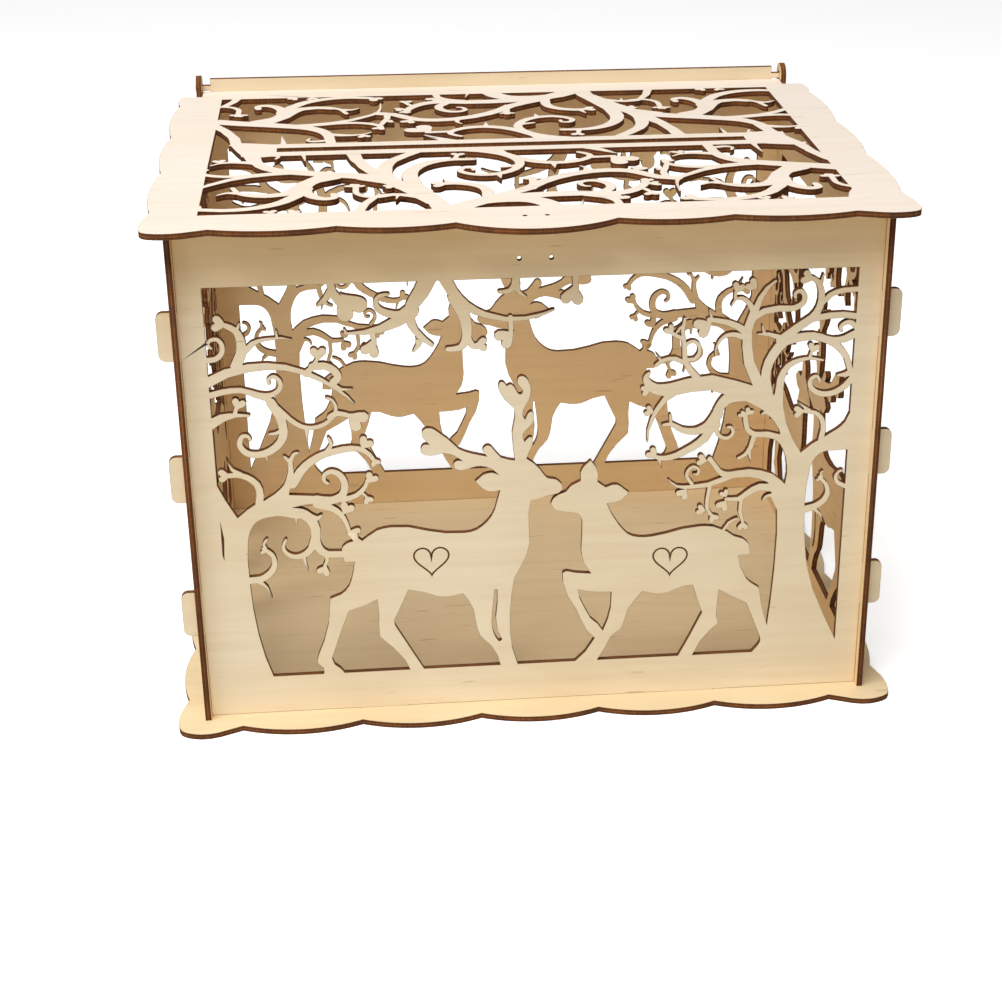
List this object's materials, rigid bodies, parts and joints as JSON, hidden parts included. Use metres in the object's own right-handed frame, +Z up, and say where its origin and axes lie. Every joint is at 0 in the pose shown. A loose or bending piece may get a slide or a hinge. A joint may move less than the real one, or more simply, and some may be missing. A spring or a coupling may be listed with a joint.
{
  "type": "wedding card box",
  "caption": "Flat-pack plywood card box with woodland fretwork walls, a scalloped base and a hinged lid with a card slot.",
  "frame": {"origin": "middle of the underside of the base", "axes": "+Z up, -Y towards the front, +X to the right of someone who looks at the front"},
  "size_m": [0.3054, 0.2491, 0.226],
  "materials": {
    "base_ply": "raw birch plywood",
    "front_ply": "raw birch plywood",
    "back_ply": "raw birch plywood",
    "side_ply": "raw birch plywood",
    "lid_ply": "raw birch plywood",
    "hinge_ply": "raw birch plywood"
  },
  "bodies": {
    "box": {"base_plate": "base_ply", "front_panel": "front_ply", "back_panel": "back_ply", "left_side_panel": "side_ply", "right_side_panel": "side_ply"},
    "lid": {"lid_plate": "lid_ply", "hinge_bar": "hinge_ply"}
  },
  "joints": [
    {"name": "lid_hinge", "type": "hinge", "parent": "box", "child": "lid", "pos_m": [0, 0.1089, 0.2203], "axis": [-1, 0, 0], "range_deg": [0, 110]}
  ]
}
